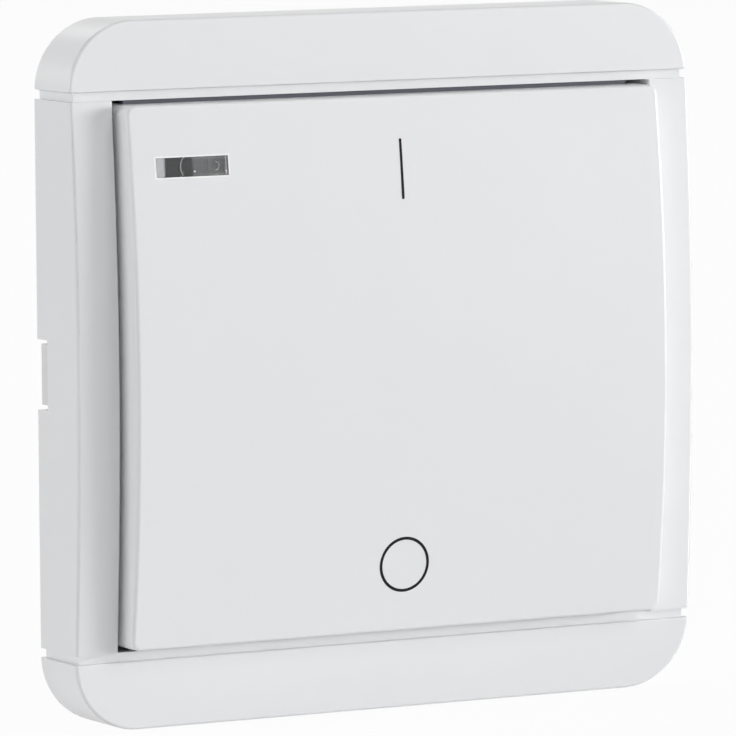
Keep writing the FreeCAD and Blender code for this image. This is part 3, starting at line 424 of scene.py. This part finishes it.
def makeClear():
    finish = Finish("clear_lens")
    x, y, z = finish.axes()
    smear = finish.noise(lens["smear"], lens["smearDetail"])
    finish.set(
        Base_Color=rgba(lens["colour"]), IOR=lens["ior"], Transmission_Weight=1.0,
        Specular_IOR_Level=lens["gloss"],
        Roughness=smear * lens["smearRoughness"] + lens["roughness"])

    def lineOver(place, middle):
        width = lens["lineWidth"]
        return finish.fade((place - middle).absolute(), width, width * lens["lineSoft"])

    across, upright = x / mm, z / mm
    leftEnd = (across < lens["endAt"]) * lens["endShare"]
    # painted reflection: a light veil over the right half of the lens
    right = finish.fade(across, lens["sheenFrom"], lens["sheenTo"])
    sheen = right * (lens["sheenShare"] + (smear - noiseMiddle) * lens["smearSheen"])
    line = lineOver(across, lens["lineAt"]) * lens["lineShare"]
    edges = lineOver((upright - lens["edgeMiddle"]).absolute(), lens["edgeOff"])
    share = leftEnd.either(sheen).either(line) + edges * right * lens["edgeShare"]
    # painted glints: small near-white dots on the lens
    for centre, radius, strength in lens["glints"]:
        along, up = across - centre[0], upright - centre[1]
        far = (along * along + up * up).root()
        share = share.either(finish.fade(far, radius, radius * lens["glintSoft"]) * strength)
    frost = finish.add("ShaderNodeBsdfPrincipled", {}, {
        "Base Color": rgba(lens["frost"]), "Roughness": lens["frostRoughness"]}, "BSDF")
    onFront = y < -lens["frontDepth"] * mm
    finish.show(finish.mix(share * onFront, finish.surface(), frost))
    return finish.material


indicator = {
    # what shows through the window: a round lamp in its black shroud, with painted light over its
    # right part and a painted highlight on the lamp's edge, in millimetres
    "lampRoughness": 0.12, "shroudRoughness": 0.4, "ior": 1.5, "gloss": 0.05,
    "dark": (0.012, 0.012, 0.014), "litGrey": (0.072, 0.073, 0.077),
    "litFrom": -27.9, "litTo": -26.7,
    "cloud": 900.0, "cloudShare": 0.25, "cloudRoughness": 0.1,
    "centre": (-27.2, 25.2), "rim": 1.75, "rimWidth": 0.09, "rimTone": 0.80,
    "hook": (-24.2, 25.1), "hookRadius": 0.5, "hookWidth": 0.08, "hookTone": 0.90,
    "ringSoft": 0.4,
}


def makeShroudOrLamp(name, roughness):
    # one pattern runs over both pieces, so that they join behind the window
    finish = Finish(name)
    x, _, z = finish.axes()
    cloud = finish.noise(indicator["cloud"])

    def ringAt(centre, radius, width):
        across, upright = x - centre[0] * mm, z - centre[1] * mm
        off = ((across * across + upright * upright).root() / mm - radius).absolute()
        return finish.fade(off, width, width * indicator["ringSoft"])

    # painted light: the right part is a lighter grey, as if lit inside the window
    lit = finish.fade(x / mm, indicator["litFrom"], indicator["litTo"])
    tone = finish.blend(lit, rgba(indicator["dark"]), rgba(indicator["litGrey"]))
    tone = finish.blend(cloud * indicator["cloudShare"], tone, rgba(indicator["dark"]))
    # painted highlight: a light ring on the lamp's rounded edge, only over the dark part
    rim = ringAt(indicator["centre"], indicator["rim"], indicator["rimWidth"]) * (1 - lit)
    tone = finish.blend(rim, tone, rgba([indicator["rimTone"]] * 3))
    hook = ringAt(indicator["hook"], indicator["hookRadius"], indicator["hookWidth"])
    hook = hook * (x > indicator["hook"][0] * mm)
    tone = finish.blend(hook, tone, rgba([indicator["hookTone"]] * 3))
    finish.set(
        Base_Color=tone, Roughness=cloud * indicator["cloudRoughness"] + roughness,
        IOR=indicator["ior"], Specular_IOR_Level=indicator["gloss"])
    return finish.material


board = {
    # solder mask over laminate, which looks lighter over the tracks; lengths in millimetres
    "mask": (0.010, 0.075, 0.035), "maskLight": (0.014, 0.100, 0.048),
    "track": (0.040, 0.200, 0.085), "pitch": 1.7, "trackShare": 0.30, "trackHeight": 0.03,
    "patch": 130.0, "weave": 4000.0, "weaveHeight": 0.1,
    "roughness": 0.25, "weaveRoughness": 0.1, "bumpStrength": 0.6,
}


def makeBoard():
    finish = Finish("board_laminate")
    x, _, z = finish.axes()
    weave = finish.noise(board["weave"])
    patch = finish.noise(board["patch"], detail=0.0) > noiseMiddle
    turns = math.pi / (board["pitch"] * mm)
    rows = (z * turns).wave().absolute() < board["trackShare"]
    columns = (x * turns).wave().absolute() < board["trackShare"]
    tracks = (rows * patch).either(columns * (1 - patch))
    plain = finish.blend(weave, rgba(board["mask"]), rgba(board["maskLight"]))
    relief = tracks + weave * board["weaveHeight"]
    finish.set(
        Base_Color=finish.blend(tracks, plain, rgba(board["track"])),
        Roughness=weave * board["weaveRoughness"] + board["roughness"],
        Normal=finish.bump(relief, board["bumpStrength"], board["trackHeight"] * mm))
    return finish.material


finishes = {slot: makePlastic(slot) for slot in plastics}
finishes.update({slot: makeMetal(slot) for slot in metals})
finishes["clear_lens"] = makeClear()
finishes["lamp_lens"] = makeShroudOrLamp("lamp_lens", indicator["lampRoughness"])
finishes["board_laminate"] = makeBoard()
ownFinishes = {
    # nodes that don't take their slot's plain finish
    "rocker": makePlastic("white_moulding", "rockerWhitePaintedHighlight", rim=windowHighlightRing),
    "surround_frame": makePlastic("white_moulding", "frameWhiteShadedShelves", shelfShade=paintedShelfShade),
    "led_shroud": makeShroudOrLamp("shroudBlack", indicator["shroudRoughness"]),
}

for part in frame["record"]["subparts"]:
    node = frame["nodes"][part["node"]]
    for place in node.material_slots:
        place.material = ownFinishes.get(part["node"], finishes[part["material_slot"]])

rockerFace = {"frontDepth": 14.9, "arch": 230.0}  # millimetres
marks = {
    # the printed I and O, in millimetres; a bar's end and the ring's middle line give their places
    "slot": "black_moulding", "proud": 0.012, "sunk": 0.03,
    "barLow": 20.3, "barHigh": 27.7, "barWidth": 0.36, "barParts": 12, "barCorners": 24,
    "ringHeight": -24.6, "ringRadius": 3.25, "ringWidth": 0.37, "ringCorners": 128,
}
ink = {
    # depth of its specks in millimetres
    "colour": (0.006, 0.006, 0.007), "lighter": 1.8, "speck": 9000.0,
    "roughness": 0.60, "speckRoughness": 0.1, "gloss": 0.15, "bumpStrength": 0.3, "depth": 0.002,
}
standUp = Matrix.Rotation(math.radians(90), 3, "X")  # turns a flat outline to face the front


def faceDepth(z):
    # how far the arched face stands off the wall at a height, both in metres
    arch = rockerFace["arch"] * mm
    return rockerFace["frontDepth"] * mm - (arch - math.sqrt(arch * arch - z * z))


def makeInk():
    finish = Finish("printInk")
    speck = finish.noise(ink["speck"])
    lighter = rgba(ink["colour"], ink["lighter"])
    finish.set(
        Base_Color=finish.blend(speck, rgba(ink["colour"]), lighter),
        Roughness=speck * ink["speckRoughness"] + ink["roughness"],
        Normal=finish.bump(speck, ink["bumpStrength"], ink["depth"] * mm),
        Specular_IOR_Level=ink["gloss"])
    return finish.material


printInk = makeInk()


def printMark(name, build):
    # lays a flat outline, drawn at y = 0 in millimetres, on the arched face as a film of ink
    bmesh.ops.scale(build, vec=(mm, mm, mm), verts=build.verts)
    raised = bmesh.ops.extrude_face_region(build, geom=list(build.faces))
    front = {item for item in raised["geom"] if isinstance(item, bmesh.types.BMVert)}
    for corner in build.verts:
        height = marks["proud"] if corner in front else -marks["sunk"]
        corner.co.y = -(faceDepth(corner.co.z) + height * mm)
    bmesh.ops.recalc_face_normals(build, faces=build.faces)
    piece = placeMesh(name, build, printInk)
    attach(piece, "rocker")


def makeOnMark():
    # a circle pulled apart into a bar with round ends, then cut across so that it can arch
    build = bmesh.new()
    half = marks["barWidth"] / 2
    bmesh.ops.create_circle(build, cap_ends=True, segments=marks["barCorners"], radius=half)
    bmesh.ops.rotate(build, verts=build.verts, matrix=standUp)
    for corner in build.verts:
        corner.co.z += marks["barHigh"] - half if corner.co.z > 0 else marks["barLow"] + half
    span = marks["barHigh"] - marks["barLow"]
    for step in range(1, marks["barParts"]):
        cut = marks["barLow"] + span * step / marks["barParts"]
        everything = build.verts[:] + build.edges[:] + build.faces[:]
        bmesh.ops.bisect_plane(build, geom=everything, plane_co=(0, 0, cut), plane_no=(0, 0, 1))
    printMark("onMark", build)


def makeOffMark():
    build = bmesh.new()
    outer = marks["ringRadius"] + marks["ringWidth"] / 2
    inner = marks["ringRadius"] - marks["ringWidth"] / 2
    bmesh.ops.create_circle(build, cap_ends=False, segments=marks["ringCorners"], radius=outer)
    grown = bmesh.ops.extrude_edge_only(build, edges=build.edges)
    inside = [item for item in grown["geom"] if isinstance(item, bmesh.types.BMVert)]
    bmesh.ops.scale(build, vec=(inner / outer, inner / outer, 1), verts=inside)
    bmesh.ops.rotate(build, verts=build.verts, matrix=standUp)
    bmesh.ops.translate(build, verts=build.verts, vec=(0, 0, marks["ringHeight"]))
    printMark("offMark", build)


makeOnMark()
makeOffMark()
print("marks printed")
